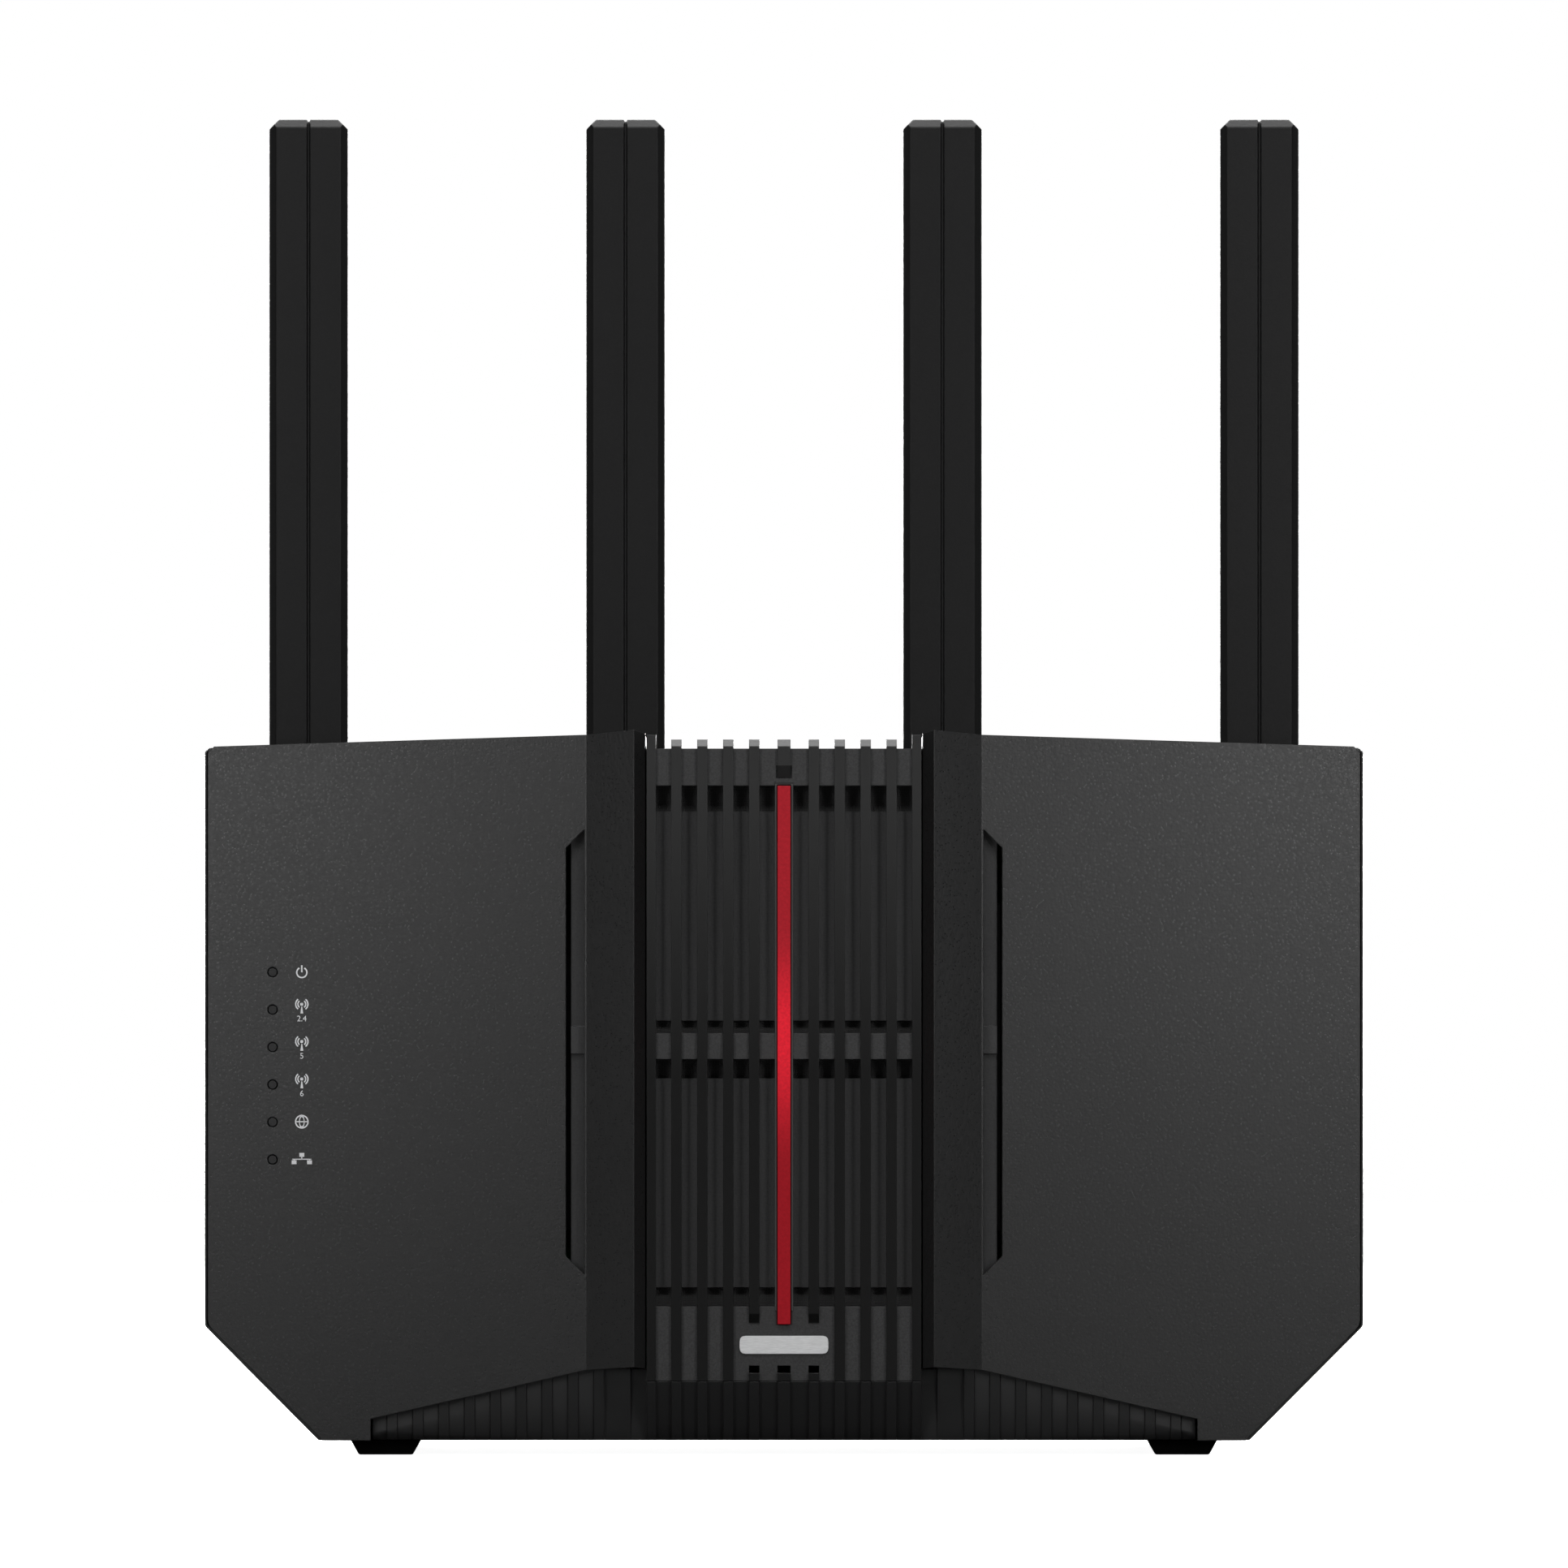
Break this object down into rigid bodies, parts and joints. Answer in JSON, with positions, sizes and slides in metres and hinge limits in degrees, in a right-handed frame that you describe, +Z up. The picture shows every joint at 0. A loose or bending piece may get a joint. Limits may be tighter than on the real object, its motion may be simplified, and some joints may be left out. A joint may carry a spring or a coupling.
{
  "type": "wireless router",
  "caption": "Upright wireless router with two swept covers, a ribbed vent grille with a red accent, a rear stand, back sockets and flat antennas that swivel and fold.",
  "frame": {"origin": "on the surface the router stands on, under the middle of its footprint", "axes": "+Z up; the front grille faces -Y and the sockets face +Y; +X is to the right when looking at the front"},
  "size_m": [0.2698, 0.09, 0.3115],
  "materials": {
    "textured_black": "fine spark-textured moulding",
    "smooth_black": "satin moulding",
    "housing_black": "fine textured moulding",
    "accent_red": "satin red, translucent edge",
    "badge_silver": "satin silver",
    "rubber_black": "matt",
    "clear_plastic": "clear",
    "board_green": "solder mask",
    "steel": "tinned sheet",
    "sink_metal": "black anodised extrusion",
    "jack_blue": "moulded",
    "jack_grey": "moulded",
    "label_grey": "printed film, left blank",
    "lead_grey": "coaxial lead jacket"
  },
  "bodies": {
    "body": {"accent_strip": "accent_red", "antenna_1_lead": "lead_grey", "antenna_2_lead": "lead_grey", "antenna_3_lead": "lead_grey", "antenna_4_lead": "lead_grey", "center_grille": "smooth_black", "dc_inlet": "smooth_black", "dc_pin": "steel", "foot_front_left": "rubber_black", "foot_front_right": "rubber_black", "foot_rear_left": "rubber_black", "foot_rear_right": "rubber_black", "front_badge": "badge_silver", "heat_sink": "sink_metal", "housing_screw_lower_left": "steel", "housing_screw_lower_right": "steel", "housing_screw_upper_left": "steel", "housing_screw_upper_right": "steel", "lan_jack_1": "jack_grey", "lan_jack_2": "jack_grey", "lan_jack_3": "jack_grey", "lan_jack_4": "jack_grey", "light_pipe_comb": "clear_plastic", "louvre_plate": "housing_black", "lower_skirt": "smooth_black", "main_board": "board_green", "port_box": "housing_black", "rating_label": "label_grey", "rear_housing": "housing_black", "shield_can": "steel", "side_louvre_left": "housing_black", "side_louvre_right": "housing_black", "stand_base": "housing_black", "usb_port": "steel", "wan_jack": "jack_blue", "wing_cover_left": "textured_black", "wing_cover_right": "textured_black"},
    "antenna_1_swivel": {"antenna_1_knuckle": "smooth_black", "antenna_1_fold_pin": "steel"},
    "antenna_1_blade": {"antenna_1_front_shell": "smooth_black", "antenna_1_rear_shell": "smooth_black", "antenna_1_radiator": "board_green"},
    "antenna_2_swivel": {"antenna_2_knuckle": "smooth_black", "antenna_2_fold_pin": "steel"},
    "antenna_2_blade": {"antenna_2_front_shell": "smooth_black", "antenna_2_rear_shell": "smooth_black", "antenna_2_radiator": "board_green"},
    "antenna_3_swivel": {"antenna_3_knuckle": "smooth_black", "antenna_3_fold_pin": "steel"},
    "antenna_3_blade": {"antenna_3_front_shell": "smooth_black", "antenna_3_rear_shell": "smooth_black", "antenna_3_radiator": "board_green"},
    "antenna_4_swivel": {"antenna_4_knuckle": "smooth_black", "antenna_4_fold_pin": "steel"},
    "antenna_4_blade": {"antenna_4_front_shell": "smooth_black", "antenna_4_rear_shell": "smooth_black", "antenna_4_radiator": "board_green"},
    "power_button": {"power_button": "smooth_black"},
    "wps_button": {"wps_button": "smooth_black"},
    "reset_button": {"reset_button": "smooth_black"}
  },
  "joints": [
    {"name": "antenna_1_swivel", "type": "hinge", "parent": "body", "child": "antenna_1_swivel", "pos_m": [-0.1114, 0.012, 0.126], "axis": [0, 0, 1], "range_deg": [-60, 60]},
    {"name": "antenna_1_fold", "type": "hinge", "parent": "antenna_1_swivel", "child": "antenna_1_blade", "pos_m": [-0.1114, 0.012, 0.138], "axis": [-1, 0, 0], "range_deg": [0, 90]},
    {"name": "antenna_2_swivel", "type": "hinge", "parent": "body", "child": "antenna_2_swivel", "pos_m": [-0.03713, 0.012, 0.126], "axis": [0, 0, 1], "range_deg": [-60, 60]},
    {"name": "antenna_2_fold", "type": "hinge", "parent": "antenna_2_swivel", "child": "antenna_2_blade", "pos_m": [-0.03713, 0.012, 0.138], "axis": [-1, 0, 0], "range_deg": [0, 90]},
    {"name": "antenna_3_swivel", "type": "hinge", "parent": "body", "child": "antenna_3_swivel", "pos_m": [0.03713, 0.012, 0.126], "axis": [0, 0, 1], "range_deg": [-60, 60]},
    {"name": "antenna_3_fold", "type": "hinge", "parent": "antenna_3_swivel", "child": "antenna_3_blade", "pos_m": [0.03713, 0.012, 0.138], "axis": [-1, 0, 0], "range_deg": [0, 90]},
    {"name": "antenna_4_swivel", "type": "hinge", "parent": "body", "child": "antenna_4_swivel", "pos_m": [0.1114, 0.012, 0.126], "axis": [0, 0, 1], "range_deg": [-60, 60]},
    {"name": "antenna_4_fold", "type": "hinge", "parent": "antenna_4_swivel", "child": "antenna_4_blade", "pos_m": [0.1114, 0.012, 0.138], "axis": [-1, 0, 0], "range_deg": [0, 90]},
    {"name": "power_button_press", "type": "slide", "parent": "body", "child": "power_button", "axis": [0, -1, 0], "range_m": [0, 0.0018], "stiffness_N_per_m": 400, "springref_m": -0.001},
    {"name": "wps_button_press", "type": "slide", "parent": "body", "child": "wps_button", "axis": [0, -1, 0], "range_m": [0, 0.0008], "stiffness_N_per_m": 500, "springref_m": -0.001},
    {"name": "reset_button_press", "type": "slide", "parent": "body", "child": "reset_button", "axis": [0, -1, 0], "range_m": [0, 0.0006], "stiffness_N_per_m": 500, "springref_m": -0.001}
  ]
}
